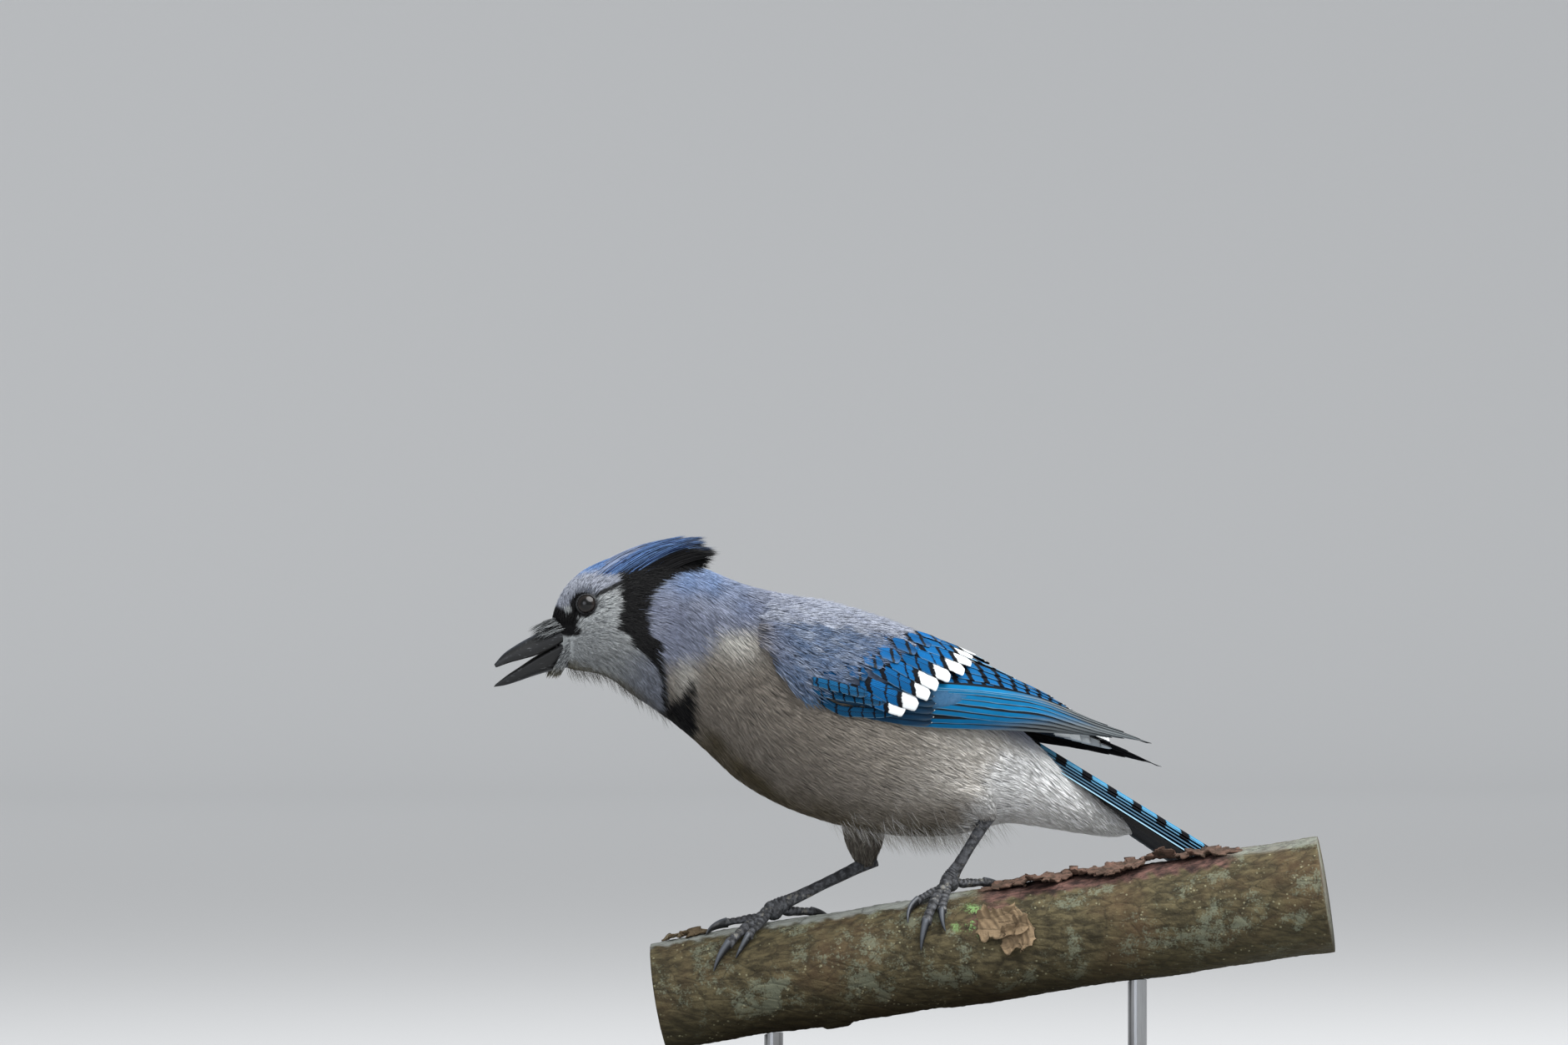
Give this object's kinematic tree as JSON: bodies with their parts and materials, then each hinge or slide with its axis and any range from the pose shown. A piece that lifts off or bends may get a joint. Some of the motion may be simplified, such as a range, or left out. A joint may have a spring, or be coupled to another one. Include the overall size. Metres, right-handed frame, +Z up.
{
  "type": "blue jay",
  "caption": "Life-size still model of a crested songbird with an open bill, leaning forwards along a cut length of branch on a plain display stand.",
  "frame": {"origin": "centre of the object's bounding box in plan, on the surface that the stand's base rests on", "axes": "+Z up, the bird's bill points towards -X, its left side towards -Y"},
  "size_m": [0.2866, 0.1145, 0.1914],
  "materials": {
    "head_feathers": "soft small feathers, blue crest, pale face and throat, black band and lore",
    "mantle_feathers": "soft violet-blue grey feathers above, pale grey below, black collar",
    "breast_feathers": "soft warm grey feathers, paler and faintly streaked on the belly",
    "vent_feathers": "soft white feathers below, blue-grey above",
    "wing_feathers": "vaned feathers, bright blue with black bars and white tips",
    "tail_feathers": "vaned feathers, blue with black bars and pale outer tips",
    "bill_horn": "satin black horn with a blue-grey sheen on the ridge",
    "eye_gloss": "wet dark brown, nearly black",
    "leg_scales": "dark grey horny scutes with worn paler edges",
    "claw_horn": "satin grey-black horn",
    "bark": "olive brown bark with pale lichen specks and red-brown peeled flakes",
    "stand_wood": "satin dark stained hardwood",
    "stand_steel": "brushed steel"
  },
  "bodies": {
    "root": {"head": "head_feathers", "bill_upper": "bill_horn", "bill_lower": "bill_horn", "eye_left": "eye_gloss", "eye_right": "eye_gloss", "neck": "mantle_feathers", "torso": "breast_feathers", "rump": "vent_feathers", "tail": "tail_feathers", "wing_left": "wing_feathers", "wing_right": "wing_feathers", "thigh_left": "breast_feathers", "thigh_right": "breast_feathers", "tarsus_left": "leg_scales", "tarsus_right": "leg_scales", "foot_left": "leg_scales", "foot_right": "leg_scales", "claw_left_1": "claw_horn", "claw_left_2": "claw_horn", "claw_left_3": "claw_horn", "claw_left_4": "claw_horn", "claw_right_1": "claw_horn", "claw_right_2": "claw_horn", "claw_right_3": "claw_horn", "claw_right_4": "claw_horn", "perch": "bark", "stand_base": "stand_wood", "stand_rod_1": "stand_steel", "stand_rod_2": "stand_steel"}
  },
  "joints": []
}
